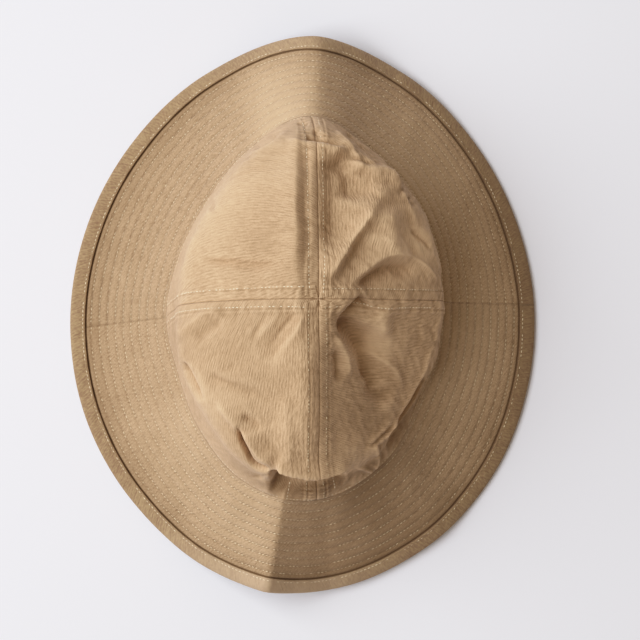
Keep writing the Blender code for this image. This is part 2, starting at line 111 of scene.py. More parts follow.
# %% Fold tables
CROWN_FOLD_COLUMNS = (
    "x1", "y1", "x2", "y2", "x3", "y3", "x4", "y4",
    "lift", "left_width", "right_width", "crispness", "fade_in", "fade_out",
)
CROWN_FOLD_ROWS = (
    # the crest from brow to back, left of which the crown faces left
    (-2, 92, -2, 38, 0, -18, 2, -86, 4.2, 12, 20, 0.3, 0.15, 0.12),
    # front left panel: the puffed edge beside the front seam and the valley below it
    (-2, 110, -2.5, 82, -3, 51, -3.5, 21, 1.8, 4, 10, 0.3, 0.1, 0.25),
    (3, 99, 3, 74, 3, 48, 2.5, 18, -1.4, 3, 3.5, 0.2, 0.15, 0.3),
    (16, 92, 17.5, 72, 18, 54, 16.5, 32, -4.6, 12, 10, 0.1, 0.15, 0.25),
    # the crest where its wall turns in, and small folds along the wall
    (-57.6, 51, -62.7, 41, -68, 26.7, -71, 15.4, 1.5, 8, 3, 0.5, 0.3, 0.3),
    (-52, 69, -51.5, 65, -51.5, 61.7, -53, 59.4, -1, 3, 3, 0.1, 0.3, 0.3),
    (-29, 94, -24, 98.5, -18, 102, -12, 107.5, -2.8, 3, 3, 0.4, 0.3, 0.3),
    (-29, 98, -22, 103.5, -16, 108, -9, 113, 1.5, 2.5, 2.5, 0.4, 0.3, 0.3),
    (-31, 90, -23, 93.5, -14, 98.4, -7, 106, 2, 3, 8, 0.5, 0.3, 0.2),
    (-58, 31, -42, 30.5, -26, 29, -9, 28, -2.8, 3, 6, 0.3, 0.3, 0.3),
    # the brow: a crest, the groove in front of it, and creases of the front wall
    (-9, 98.4, 1, 96.7, 13.5, 95, 31, 91.6, 2.6, 3, 8, 0.8, 0.25, 0.2),
    (2, 100, 8, 99.5, 16, 98.3, 24, 96.6, -3.6, 4, 1.8, 0.6, 0.15, 0.25),
    (-3, 110, 0, 110.3, 3, 110, 5, 109.5, -2, 2.5, 2.5, 0.6, 0.3, 0.3),
    (7, 106, 9, 103.5, 10.3, 100.5, 10.7, 97, -2, 3, 3, 0.3, 0.3, 0.3),
    # front right panel: a hollow beside the seam and the soft ridge past it
    (20.5, 93, 25, 85, 28.5, 76, 27.5, 63, -5.8, 13, 8, 0.2, 0.22, 0.22),
    (34, 87, 36, 81, 37, 73, 36, 64, -2, 6, 10, 0, 0.3, 0.3),
    # long thin folds of its wall, and the corner where they meet the top
    (25.5, 109, 33.4, 100.8, 41, 92.3, 47.5, 85, -5, 1.6, 2, 0.8, 0.15, 0.2),
    (36, 102, 43.5, 94, 50, 85.5, 55, 77, 3.6, 2.5, 3, 0.5, 0.2, 0.2),
    (47, 89, 50, 86.5, 52, 84.5, 54, 82, -2, 1.5, 1.5, 0.7, 0.3, 0.3),
    (19, 106, 25, 100.5, 30.5, 94, 35, 88, 1.8, 2.5, 2.5, 0.5, 0.2, 0.2),
    (28, 88.5, 38.5, 85, 49, 82, 57, 71, 2.2, 3.5, 7, 0.6, 0.2, 0.12),
    (27, 91, 33, 89.5, 37, 88, 41, 86, -1.6, 2, 1.8, 0.5, 0.3, 0.3),
    # the bump of its wall beside that corner
    (57.5, 71, 61, 64, 64, 57, 67, 51, 1.4, 2.5, 3, 0.6, 0.15, 0.3),
    (61, 68.5, 62.5, 66.5, 64, 64, 65, 61, -1.1, 2.5, 2.5, 0.1, 0.3, 0.3),
    (64, 69.5, 68, 66, 71, 60, 75, 50, 3.4, 4, 4, 0.4, 0.15, 0.3),
    (63, 50, 67, 45.5, 72, 41, 76, 35, -2.2, 2, 2.5, 0.5, 0.2, 0.3),
    (68, 55, 73, 44, 77, 34, 79.5, 24, 1.2, 3, 4, 0.4, 0.2, 0.2),
    # its two big diagonal ridges, with a hollow below each
    (15.5, 20, 24.6, 36.5, 34.7, 51.5, 47.5, 72, 4.8, 9, 5.5, 0.5, 0.16, 0.3),
    (19, 18, 28.5, 33, 37.5, 46, 44, 54, -1.8, 5, 7, 0.1, 0.2, 0.6),
    (36, 52, 41, 60, 45.5, 67, 50, 75, 1, 8, 13, 0.2, 0.2, 0.2),
    (47.5, 64, 49.5, 54, 49.5, 44, 47, 34, 5, 10, 18, 0.1, 0.3, 0.3),
    (28.8, 17.8, 39.2, 28.4, 50.5, 34.8, 63, 34, 4, 8, 4, 0.6, 0.25, 0.12),
    (60, 35, 67.5, 31, 73.5, 25, 79, 18.5, 2.2, 2.5, 2.5, 0.7, 0.1, 0.25),
    (31.5, 14, 40.5, 22.5, 51.5, 27.5, 66, 26, -4.8, 4, 8, 0.2, 0.25, 0.2),
    (56, 24, 58, 18, 58.5, 11, 58, 4, 1.6, 11, 6, 0.2, 0.3, 0.3),
    # back right panel: a winding hollow from the cross, and the ridges around it
    (37.5, 9.5, 31.5, 4, 26, -2, 23.5, -10.5, -8, 7, 4.5, 0.3, 0.1, 0.2),
    (25, -4, 33.5, -14, 39.5, -25, 43, -42, -8.8, 9, 8.5, 0.35, 0.12, 0.18),
    (19, -10, 22.8, -17, 25.5, -25.5, 26.5, -37, 3.2, 4, 4.5, 0.5, 0.25, 0.25),
    (19.8, -18, 21, -25, 21.4, -31, 20.6, -39, -2.8, 3, 3, 0.2, 0.25, 0.25),
    (34, -17.5, 44, -24, 54, -32, 60, -44, 2.6, 5, 4, 0.6, 0.25, 0.25),
    (38, -37, 42.5, -42, 47, -46, 52, -50.5, -4.6, 9, 8, 0.1, 0.3, 0.3),
    (42, 6, 46, 0, 47, -7, 44, -15, 3.2, 12, 13, 0, 0.35, 0.35),
    (52.5, 3, 53, -4, 52.5, -9, 50, -16, -1.8, 6, 6, 0.1, 0.3, 0.3),
    # the worn edge where it turns over its wall, and the hollow below it
    (80, 12, 80, 0, 79, -9, 77, -17, 1, 2.5, 3, 0.5, 0.2, 0.2),
    (76, -18, 69.5, -38.5, 60, -54.5, 50, -67, 1.1, 1.8, 2.2, 0.8, 0.15, 0.15),
    (75, -31, 67, -49, 57, -65.3, 47, -79, -4.4, 5, 2.5, 0.4, 0.3, 0.2),
    # two small folds and the flap at its end
    (57, -60, 51, -67, 45.5, -71.5, 40.5, -76.5, 1.8, 1.8, 1.5, 0.7, 0.2, 0.2),
    (53, -60, 47.5, -65.5, 42.8, -70, 39.5, -75, 1.4, 1.5, 2.5, 0.6, 0.2, 0.2),
    (54, -63, 49, -67, 44, -71, 40, -75.5, -0.6, 1.4, 1.4, 0.4, 0.2, 0.2),
    (42, -74, 43.5, -80, 44, -86, 42, -91, 3, 2, 5, 0.6, 0.15, 0.2),
    (30, -88.4, 34.8, -89, 38.3, -90.7, 41.8, -91.2, 2.2, 4, 2, 0.6, 0.2, 0.2),
    # the lip over the back wall, the hollow that it shades, and its dark left corner
    (-15, -85.5, -5, -87.9, 9.6, -88.8, 29, -85.8, 5.5, 8, 2, 0.7, 0.12, 0.12),
    (-17, -92.5, -5.4, -94.3, 9.6, -94.8, 26, -91.5, -10, 2.5, 7, 0.5, 0.08, 0.12),
    (-18.5, -91.5, -12, -91, -5, -92.3, 4, -94, -10, 2.5, 6, 0.5, 0.12, 0.4),
    (-21, -91, -19.5, -96.5, -17.5, -102, -15, -107, 3.2, 5, 8, 0.4, 0.1, 0.6),
    # back left panel: soft swells at the side, a long valley and a ridge by the seam
    (-73, -13, -64, -6, -54, -0.5, -44, 3, 2.2, 6, 6, 0.2, 0.2, 0.2),
    (-44.7, -1.6, -49, -6, -55.4, -10, -61.6, -14, -1.8, 5, 5, 0.1, 0.3, 0.3),
    (-55, -33.5, -43, -38, -31.7, -42, -16, -46.5, -2, 3.5, 7, 0.2, 0.2, 0.3),
    (-9, -40, -8, -56, -7, -70, -7, -86, 1.6, 5, 8, 0.2, 0.3, 0.15),
    (0, 4, -7, -6, -13, -16, -19, -26, -2.8, 5, 15, 0, 0.25, 0.3),
    # slanting drag lines below the cross seam
    (2.8, 1.8, -1.7, -6.7, -7.4, -15, -14.2, -24.2, 1, 3.5, 2.5, 0.4, 0.2, 0.5),
    (-2.9, 1.8, -8, -3.8, -14.2, -11.7, -20.4, -19.7, -1.3, 2.5, 2.5, 0.4, 0.2, 0.5),
    (-10.8, 2.9, -16.4, -3.8, -22, -11.2, -27.7, -19.7, 0.6, 3, 2.5, 0.4, 0.2, 0.5),
    (-18.7, 2.4, -22, -3.8, -25.5, -11.2, -28.3, -18.5, -0.8, 2.5, 2.5, 0.4, 0.2, 0.5),
    # where it folds over its own wall, and the deep crease with the pouch beside it
    (-72.5, -26, -67.5, -35, -61.5, -45, -56, -53, 0.6, 5, 4, 0.1, 0.25, 0.25),
    (-67.8, -25.5, -63.8, -33, -60, -39.5, -55, -48, -5, 1.6, 5, 0.4, 0.2, 0.35),
    (-64.5, -25, -60, -31, -55.5, -38, -51, -45, 0.6, 6, 2, 0.6, 0.25, 0.25),
    (-49, -47.5, -43, -54.7, -38.5, -60, -35.5, -65, 2, 6, 2.5, 0.6, 0.3, 0.2),
    (-36.3, -62.5, -33.2, -74.5, -27.5, -84, -18.5, -88.5, -10.5, 1.5, 1.4, 0.8, 0.33, 0.13),
    (-33, -65, -29.7, -73, -24, -80.5, -16.5, -85.5, 2.6, 13, 2, 0.4, 0.15, 0.2),
    (-34.5, -56, -30, -58.8, -26, -61.5, -22, -65, -2.2, 2.5, 3, 0.4, 0.3, 0.3),
    (-21, -69, -16.4, -75, -12, -80, -9, -86.3, -0.8, 4.5, 5, 0.2, 0.3, 0.2),
)
FOLD_LINE_POINTS = 14

BRIM_FOLD_COLUMNS = (
    "clock", "lift_at_seam", "lift_at_edge", "width_before", "width_after", "crispness",
)
BRIM_FOLD_ROWS = (
    (87.5, 3, 11, 13, 12.5, 0.3),
    (88, 1, 2.5, 5, 6, 0.2),
    (260.3, 9, 19.5, 18, 9, 0.85),
    (260.3, 1.5, 3.5, 4, 4, 1),
    (298, 4, 3, 14, 9, 0.2),
    (0.5, 0.8, 0, 3, 3, 0.3),
    (353, -1.5, 0, 5, 5, 0),
)

CROWN_FOLDS = [dict(zip(CROWN_FOLD_COLUMNS, row)) for row in CROWN_FOLD_ROWS]
BRIM_FOLDS = [dict(zip(BRIM_FOLD_COLUMNS, row)) for row in BRIM_FOLD_ROWS]
print("folds:", len(CROWN_FOLDS), "on the crown and", len(BRIM_FOLDS), "on the brim")

# %% [markdown]
# ## Smooth curves through a few values
#
# A cubic that starts and ends with chosen slopes is a Hermite curve. Joined end to end, with
# slopes taken from the neighbours, such cubics pass through every value of a table with no
# corner. One function does that round the hat and another down a profile.

# %% Curves
# A sharp crest is rounded at its tip, falls this fast, and ends between these distances.
TIP, SHARP_FALL, CREST_ENDS = 0.1, 2.4, (0.9, 1.7)
SOFT_FALL = 2.0


def hermite(start, end, start_slope, end_slope, t):
    """A cubic with these ends and slopes, at t from 0 to 1."""
    rise = t * t * (3 - 2 * t)
    leaving, arriving = start_slope * t * (1 - t) ** 2, end_slope * t * t * (1 - t)
    return start * (1 - rise) + end * rise + leaving - arriving


def around(column, clock):
    """A section column at any clock angle, smoothly through its rows."""
    values = SECTIONS[column]
    place = np.asarray(clock, float) / SECTION_STEP
    row = np.floor(place).astype(int)
    before, here, after, beyond = (values[(row + k) % len(values)] for k in (-1, 0, 1, 2))
    return hermite(here, after, (after - before) / 2, (beyond - here) / 2, place - row)


def smooth_line(stations, values, at):
    """A smooth curve through values at rising stations."""
    table = np.stack(np.broadcast_arrays(*values, at)[:-1])
    stations = np.asarray(stations, float)
    # A line between whole numbers gets whole slopes, which bows it a little less.
    slopes = np.gradient(table, stations, axis=0).astype(table.dtype)
    span = np.clip(np.searchsorted(stations, at, side="right") - 1, 0, len(stations) - 2)
    each = np.arange(len(span))
    width = np.diff(stations)[span]
    start, end = (span, each), (span + 1, each)
    place = (at - stations[span]) / width
    return hermite(table[start], table[end], slopes[start] * width, slopes[end] * width, place)


def ease(low, high, value):
    """0 up to low, 1 from high, and smooth between them."""
    t = np.clip((value - low) / (high - low), 0.0, 1.0)
    return t * t * (3 - 2 * t)


def bell(offset):
    """1 at 0, falling smoothly to almost nothing at 2."""
    return np.exp(-(offset**2))


def crest(distance, crispness):
    """A fold's cross-section: 1 on its line and about 0 one and a half widths away."""
    soft = np.exp(-SOFT_FALL * distance**2)
    sharp = np.exp(-SHARP_FALL * (np.sqrt(distance**2 + TIP**2) - TIP))
    return soft + (sharp * (1 - ease(*CREST_ENDS, distance)) - soft) * crispness


def turned_from(clock, at):
    """Degrees that one clock angle lies past another, from -180 to 180."""
    return (clock - at + 180.0) % 360.0 - 180.0


def unit(vectors):
    """Vectors, one to a column, made one long."""
    return vectors / np.maximum(np.linalg.norm(vectors, axis=0), 1e-9)


def from_axis(reach, clock, height):
    """The point at this reach from the crown axis, clock angle and height."""
    turn = np.radians(clock)
    return np.stack((AXIS_X + reach * np.cos(turn), AXIS_Y + reach * np.sin(turn), height))


def axis_reach(points):
    """How far points lie from the crown axis."""
    return np.hypot(points[0] - AXIS_X, points[1] - AXIS_Y)


# %% [markdown]
# ## Cloth is never quite smooth
#
# Washed cotton has a slow unevenness that no fold accounts for: here a few dozen sine waves
# with directions and lengths from a seeded generator, so that every run gives the same hat.

# %% Unevenness
WAVES_TOGETHER = 2.2


def ripples(seed, shortest, longest, count):
    """A function of two coordinates in mm that wanders between about -1 and 1."""
    draw = np.random.default_rng(seed)
    lengths = np.exp(draw.uniform(math.log(shortest), math.log(longest), count))
    turns = draw.uniform(0, 2 * math.pi, count)
    phases = draw.uniform(0, 2 * math.pi, count)
    weights = lengths / lengths.sum() * WAVES_TOGETHER

    def waves(first, second):
        total = np.zeros_like(first)
        for length, turn, phase, weight in zip(lengths, turns, phases, weights):
            along = first * math.cos(turn) + second * math.sin(turn)
            total += weight * np.sin(2 * math.pi * along / length + phase)
        return total

    return waves


slow_wander = ripples(seed=11, shortest=14.0, longest=45.0, count=14)
quick_wander = ripples(seed=12, shortest=4.0, longest=11.0, count=18)


# %% [markdown]
# ## The crown's bare form
#
# The crown is one function from a flat disc to the cloth. The middle of the disc is the
# apex and its rim is the seam with the brim. Its foot rises with the brim's folds.

# %% Crown form
# A crisp fold of the brim ends at this many widths, and this power hollows its sides.
CRISP_REACH, CRISP_POWER = 1.4, 1.2


def brim_fold_lift(clock, out):
    """How far the brim's folds raise it: out is 0 at the crown seam and 1 at the edge."""
    lift = np.zeros_like(clock)
    for fold in BRIM_FOLDS:
        off = turned_from(clock, fold["clock"])
        near = np.abs(off) / np.where(off < 0, fold["width_before"], fold["width_after"])
        soft = np.exp(-SOFT_FALL * near**2)
        crisp = np.clip(1.0 - near / CRISP_REACH, 0.0, 1.0) ** CRISP_POWER
        shape = soft + (crisp - soft) * fold["crispness"]
        lift += shape * (fold["lift_at_seam"] * (1 - out) + fold["lift_at_edge"] * out)
    return lift


def disc_place(down, clock):
    """The place on the disc at this share of the way down and clock angle."""
    return down * np.cos(np.radians(clock)), down * np.sin(np.radians(clock))


def clock_and_down(across, along):
    """The clock angle of a place on the disc, and its share down."""
    return np.degrees(np.arctan2(along, across)) % 360.0, np.hypot(across, along)


def crown_base(across, along):
    """The crown without its folds. (0, 0) is the apex and a length of 1 the seam."""
    clock, down = clock_and_down(across, along)
    stations = (0.0, TOP_AT, SHOULDER_AT, WALL_AT, 1.0)
    levels = ("top", "shoulder", "wall", "seam")
    reaches = [np.zeros_like(down), *(around(f"{level}_reach", clock) for level in levels)]
    heights = [np.zeros_like(down), *(around(f"{level}_height", clock) for level in levels)]
    heights[0] += APEX_HEIGHT
    reaches[-1] -= CROWN_CLEARANCE
    heights[-1] += brim_fold_lift(clock, 0.0) + CROWN_FOOT
    height = smooth_line(stations, heights, down)
    height = APEX_HEIGHT + (height - APEX_HEIGHT) * ease(0.0, TOP_AT, down)
    swung = clock + around("swing", clock) * down**2
    return from_axis(smooth_line(stations, reaches, down), swung, height)


def outward(surface, first, second, step=0.004):
    """Unit normals of a surface of two coordinates, pointing up or outwards."""
    by_first = surface(first + step, second) - surface(first - step, second)
    by_second = surface(first, second + step) - surface(first, second - step)
    return unit(np.cross(by_first.T, by_second.T).T)


# %% [markdown]
# ## Folds and seams on the crown
#
# Folds push the bare form out along its own normals. Places seen from above are complex
# numbers here: divided by a step of a fold's line, a place shows how far along that step it
# lies and how far to its left. A seam adds a raised strip with a groove in its middle, a
# shallow valley under each row of stitches, and puckers that the thread has drawn.

# %% Crown cloth
FOLD_WANDER = 0.6
# A fold is looked for this many widths to each side of its line.
FOLD_REACH = 2.2
FOLDS_END_FROM = 0.95
# On a wall a fold keeps this share of its lift. A normal's Z tells a wall from the top.
WALL_FOLD_SHARE, WALL_TO_TOP = 0.35, (0.05, 0.5)
SEAM_CLOCKS = (0.0, 90.0, 180.0, 270.0)
# Degrees from a seam past which a place counts as far off.
SEAM_SIGHT, FAR_OFF = 75.0, 1e3
SEAM_ROW_OFFSET = 5.5
SEAM_RIDGE, RIDGE_ENDS = 0.5, (0.6, 3.0)
SEAM_GROOVE, GROOVE_REACH = 0.6, 0.6
SEAM_VALLEY, SEAM_VALLEY_WIDTH = 0.3, 0.8
SEAM_PUCKER, PUCKER_WIDTH, PUCKER_PITCH = 0.3, 3.5, 6.5
# How unevenly the puckers follow each other, and how far out of step a seam's two sides are.
PUCKER_DRIFT, OUT_OF_STEP = 2.0, 9.0
# Painted shade in a seam's groove and under a row of stitches: how much, and how wide in mm.
SEAM_PAINTED_SHADE, SEAM_PAINTED_SHADE_WIDTH = 0.5, 0.4
SEAM_ROW_PAINTED_SHADE, SEAM_ROW_PAINTED_SHADE_WIDTH = 0.15, 0.7
SLOW_WANDER, QUICK_WANDER = 0.45, 0.14
# The right of the crown is more crumpled: how much more, and from which X to which.
CRUMPLED_MORE = 0.2
CRUMPLED_FROM, CRUMPLED_FULLY = 8.0, 34.0
# The wander changes with height too, counted from here, or walls would show it as stripes.
WANDER_LEVEL = 95.0


def fold_line(fold):
    """Points along a fold's line, smoothly through the four of its row."""
    share = np.linspace(0.0, 3.0, FOLD_LINE_POINTS)
    corners = ([fold[f"{way}{stop}"] for stop in (1, 2, 3, 4)] for way in "xy")
    x, y = (smooth_line((0, 1, 2, 3), values, share) for values in corners)
    return x + 1j * y


def fold_profile(fold, line, places):
    """One fold's lift at some places, from their distances to its line."""
    step = np.diff(line)[:, None]
    off = (places - line[:-1, None]) / step
    along = np.clip(off.real, 0.0, 1.0)
    distance = np.abs((off - along) * step)
    nearest = distance.argmin(axis=0), np.arange(len(places))
    distance = distance[nearest]
    left = (off.imag * np.abs(step))[nearest]
    leaning = ease(-0.5, 0.5, left / np.maximum(distance, 1e-6))
    width = fold["right_width"] + (fold["left_width"] - fold["right_width"]) * leaning
    share = (nearest[0] + along[nearest]) / len(step)
    body = ease(-0.02, fold["fade_in"], share) * ease(-0.02, fold["fade_out"], 1.0 - share)
    return fold["lift"] * body * crest(distance / width, fold["crispness"])


def fold_lift(x, y):
    """How far the crown's folds push the cloth outwards."""
    lift = np.zeros_like(x)
    for fold in CROWN_FOLDS:
        line = fold_line(fold)
        reach = FOLD_REACH * max(fold["left_width"], fold["right_width"])
        near = (x > line.real.min() - reach) & (x < line.real.max() + reach)
        near &= (y > line.imag.min() - reach) & (y < line.imag.max() + reach)
        if near.any():
            lift[near] += fold_profile(fold, line, x[near] + 1j * y[near])
    return lift


def beside_seam(seam, clock, reach):
    """How far beside a seam a place on the crown lies, in mm, + going round."""
    off = turned_from(clock, seam)
    return np.where(np.abs(off) < SEAM_SIGHT, reach * np.sin(np.radians(off)), FAR_OFF)


def seam_relief(clock, down, reach):
    """The pressed seams: raised allowances, valleys of stitches and puckers."""
    relief = np.zeros_like(down)
    along = down * PROFILE_LENGTH
    for seam in SEAM_CLOCKS:
        beside = beside_seam(seam, clock, reach)
        away = np.abs(beside)
        off_row = away - SEAM_ROW_OFFSET
        relief += SEAM_RIDGE * (1 - ease(*RIDGE_ENDS, off_row))
        relief -= SEAM_GROOVE * np.exp(-away / GROOVE_REACH)
        relief -= SEAM_VALLEY * bell(off_row / SEAM_VALLEY_WIDTH)
        drift = PUCKER_DRIFT * quick_wander(beside, along) + OUT_OF_STEP * np.sign(beside)
        strength = 0.5 + 0.5 * slow_wander(along, np.full_like(along, seam + 3.0))
        wave = np.sin(2 * math.pi * (along + drift) / PUCKER_PITCH + seam)
        relief += SEAM_PUCKER * strength * wave * bell(off_row / PUCKER_WIDTH)
    return relief


def seam_shade(clock, reach):
    """Above 0 in a seam and under its stitches, as painted shade in their grooves."""
    shade = np.zeros_like(clock)
    for seam in SEAM_CLOCKS:
        away = np.abs(beside_seam(seam, clock, reach))
        row = SEAM_ROW_PAINTED_SHADE * bell((away - SEAM_ROW_OFFSET) / SEAM_ROW_PAINTED_SHADE_WIDTH)
        shade = np.maximum(shade, np.maximum(SEAM_PAINTED_SHADE * bell(away / SEAM_PAINTED_SHADE_WIDTH), row))
    return shade


def crown_cloth(across, along):
    """The outside of the crown. Its folds and seams die away at the brim."""
    bare = crown_base(across, along)
    clock, down = clock_and_down(across, along)
    normal = outward(crown_base, across, along)
    fade = 1.0 - ease(FOLDS_END_FROM, 1.0, down)
    lift = fold_lift(
        bare[0] + FOLD_WANDER * slow_wander(bare[1], bare[0]),
        bare[1] + FOLD_WANDER * slow_wander(bare[0] + 90.0, bare[1]),
    )
    lift *= WALL_FOLD_SHARE + (1.0 - WALL_FOLD_SHARE) * ease(*WALL_TO_TOP, normal[2])
    lift += seam_relief(clock, down, axis_reach(bare))
    crumpled = CRUMPLED_MORE * ease(CRUMPLED_FROM, CRUMPLED_FULLY, bare[0])
    drop = WANDER_LEVEL - bare[2]
    beside, along_hat = bare[0] + drop, bare[1] + 0.5 * drop
    lift += (SLOW_WANDER + crumpled) * slow_wander(beside, along_hat)
    lift += (QUICK_WANDER + crumpled) * quick_wander(beside, along_hat)
    return bare + normal * lift * fade


# %% [markdown]
# ## From a grid of points to a closed wall
#
# A grid of points gives the outside of a cloth, the same grid moved in along its normals
# gives the inside, and a strip of faces round the border closes the wall. A UV map in
# millimetres of cloth lets the weave follow each panel as the weaver made it.

# %% Walls
def slab_faces(rows, columns):
    """Faces of a closed slab between an outer grid of points and an inner one."""
    inner = rows * columns
    cells = np.arange(inner).reshape(rows, columns)
    corners = (cells[:-1, :-1], cells[:-1, 1:], cells[1:, 1:], cells[1:, :-1])
    quads = np.stack(corners, axis=-1).reshape(-1, 4)
    border = np.concatenate((cells[0, :-1], cells[:-1, -1], cells[-1, :0:-1], cells[:0:-1, 0]))
    after = np.roll(border, -1)
    rim = np.stack((after, border, border + inner, after + inner), axis=-1)
    return np.concatenate((quads, quads[:, ::-1] + inner, rim))


def link_mesh(name, points, faces, material):
    """A smooth mesh object at the origin, from points in mm."""
    mesh = bpy.data.meshes.new(name)
    mesh.from_pydata((np.asarray(points) * MM).tolist(), [], faces)
    mesh.materials.append(material)
    mesh.shade_smooth()
    piece = bpy.data.objects.new(name, mesh)
    bpy.context.collection.objects.link(piece)
    return piece


def make_piece(name, points, faces, cloth_uv, material, shade, rows_uv=None):
    """A wall of cloth, with UV maps in mm and a shade at each point."""
    piece = link_mesh(name, points, faces.tolist(), material)
    mesh = piece.data
    corners = np.empty(len(mesh.loops), np.int32)
    mesh.loops.foreach_get("vertex_index", corners)
    maps = {"cloth": cloth_uv} if rows_uv is None else {"cloth": cloth_uv, "rows": rows_uv}
    for map_name, places in maps.items():
        layer = mesh.uv_layers.new(name=map_name)
        layer.data.foreach_set("uv", np.asarray(places, np.float32)[corners].ravel())
    # Each point keeps its painted shade above 0, and its painted light and wear below 0.
    unfaded = mesh.attributes.new("unfaded", "FLOAT", "POINT")
    unfaded.data.foreach_set("value", np.asarray(shade, np.float32))
    mesh.set_sharp_from_angle(angle=math.radians(60))
    print(f"{name}: {sum(len(face.vertices) - 2 for face in mesh.polygons)} triangles")
    return piece


# %% [markdown]
# ## Colours and a helper for materials
#
# A maker notes a dye as a hex colour, but a renderer adds light in linear values, so one
# function turns the first into the second. Another adds a node. A material is then a table
# with a row for each node, where an input in quotes is the output of that row.

# %% Material helpers
def dye(hex_colour):
    """An sRGB hex colour as linear red, green, blue and 1."""
    channels = [int(hex_colour[k : k + 2], 16) / 255 for k in (1, 3, 5)]
    linear = [c / 12.92 if c <= 0.04045 else ((c + 0.055) / 1.055) ** 2.4 for c in channels]
    return (*linear, 1.0)


def add_node(tree, made, name, kind, settings, inputs, output=0):
    """Add a node, link or set its inputs, and keep its output by name."""
    node = tree.nodes.new(f"ShaderNode{kind}")
    for key, value in settings.items():
        setattr(node, key, value)
    for key, value in inputs.items():
        if isinstance(value, str):
            tree.links.new(made[value], node.inputs[key])
        else:
            node.inputs[key].default_value = value
    made[name] = node.outputs[output]


def new_material(name):
    """A material, and its shader."""
    material = bpy.data.materials.new(name)
    material.use_nodes = True
    return material, material.node_tree.nodes["Principled BSDF"]


# %% [markdown]
# ## Washed cotton twill
#
# Each thread of twill steps over its neighbour, and the steps line up as slanting ribs, here
# at 45 degrees to the grain. Real ribs are under a millimetre apart, too fine to show from
# above, so they are drawn 1.45 mm apart and broken up by the slubs of the yarn. Cotton is
# rough, and its loose fibres give a weak bloom at a slant, which is the sheen. The mesh
# stores the painted shade of a place, as in a seam or a fold, and its painted light, as in
# patches, with the paler wear of a crest.

# %% Twill
TWILL_PITCH_MM = 1.45
SWAY_MM, SWAY_DEPTH_MM = 6.0, 1.5
SLUB_LENGTH_MM = 4.5
SLUB_WIDTH_MM = 0.6
GRAIN_MM = 1.0
FADE_PATCH_MM, FADE_SHARE = 26.0, 0.4
STITCH_PITCH = 2.45
# How fast a dip ends beside its row, and how much painted shade darkens a row and its dips.
DIP_FALL, DIP_PAINTED_SHADE, BRIM_ROW_PAINTED_SHADE = 30.0, 1.6, 0.05
COTTON = {
    "Roughness": 0.9,
    "IOR": 1.45,
    "Sheen Weight": 0.28,
    "Sheen Roughness": 0.5,
    "Sheen Tint": dye("#FFEADC"),
}
MULTIPLY = {"operation": "MULTIPLY"}
MULTIPLY_ADD = {"operation": "MULTIPLY_ADD"}
COLOURS = {"data_type": "RGBA"}


def weave_rows(rib_share, grain_share):
    """Ribs and slubs at 45 degrees to the grain, as a height from 0 to about 1."""
    drawn_out = (1 / SLUB_LENGTH_MM, 1 / SLUB_WIDTH_MM, 1.0)
    return (
        ("cloth", "UVMap", {"uv_map": "cloth"}, {}),
        ("turned", "Mapping", {}, {"Vector": "cloth", "Rotation": (0, 0, -math.pi / 4)}),
        ("across", "SeparateXYZ", {}, {"Vector": "turned"}, "Y"),
        ("sway", "TexNoise", {}, {"Vector": "turned", "Scale": 1 / SWAY_MM}),
        ("bent", "Math", MULTIPLY_ADD, {0: "sway", 1: SWAY_DEPTH_MM, 2: "across"}),
        ("turns", "Math", MULTIPLY, {0: "bent", 1: 2 * math.pi / TWILL_PITCH_MM}),
        ("ribs", "Math", {"operation": "SINE"}, {0: "turns"}),
        ("drawn_out", "Mapping", {}, {"Vector": "turned", "Scale": drawn_out}),
        ("slubs", "TexNoise", {}, {"Vector": "drawn_out", "Scale": 1.0, "Roughness": 0.6}),
        ("grain", "TexNoise", {}, {"Vector": "cloth", "Scale": 1 / GRAIN_MM, "Detail": 1.0}),
        ("ribbed", "Math", MULTIPLY_ADD, {0: "ribs", 1: rib_share, 2: "slubs"}),
        ("weave", "Math", MULTIPLY_ADD, {0: "grain", 1: grain_share, 2: "ribbed"}),
    )


def stitch_ripple_rows(ripple_mm):
    """Dips where the needle went in along each row of the brim, darkened with painted shade."""
    return (
        ("rows", "UVMap", {"uv_map": "rows"}, {}),
        ("along_row", "SeparateXYZ", {}, {"Vector": "rows"}, "X"),
        ("row", "SeparateXYZ", {}, {"Vector": "rows"}, "Y"),
        ("away", "Math", {"operation": "WRAP"}, {0: "row", 1: 0.5, 2: -0.5}),
        ("squared", "Math", MULTIPLY, {0: "away", 1: "away"}),
        ("fall", "Math", MULTIPLY, {0: "squared", 1: -DIP_FALL}),
        ("near", "Math", {"operation": "EXPONENT"}, {0: "fall"}),
        ("turns", "Math", MULTIPLY, {0: "along_row", 1: 2 * math.pi / STITCH_PITCH}),
        ("cosine", "Math", {"operation": "COSINE"}, {0: "turns"}),
        ("wave", "Math", MULTIPLY_ADD, {0: "cosine", 1: -0.5, 2: -0.5}),
        ("dips", "Math", MULTIPLY, {0: "wave", 1: "near"}),
        ("height", "Math", MULTIPLY_ADD, {0: "dips", 1: ripple_mm, 2: "height"}),
        ("darker", "Math", MULTIPLY_ADD, {0: "dips", 1: -DIP_PAINTED_SHADE, 2: "near"}),
        ("tone", "Math", MULTIPLY_ADD, {0: "darker", 1: -BRIM_ROW_PAINTED_SHADE, 2: "tone"}),
    )


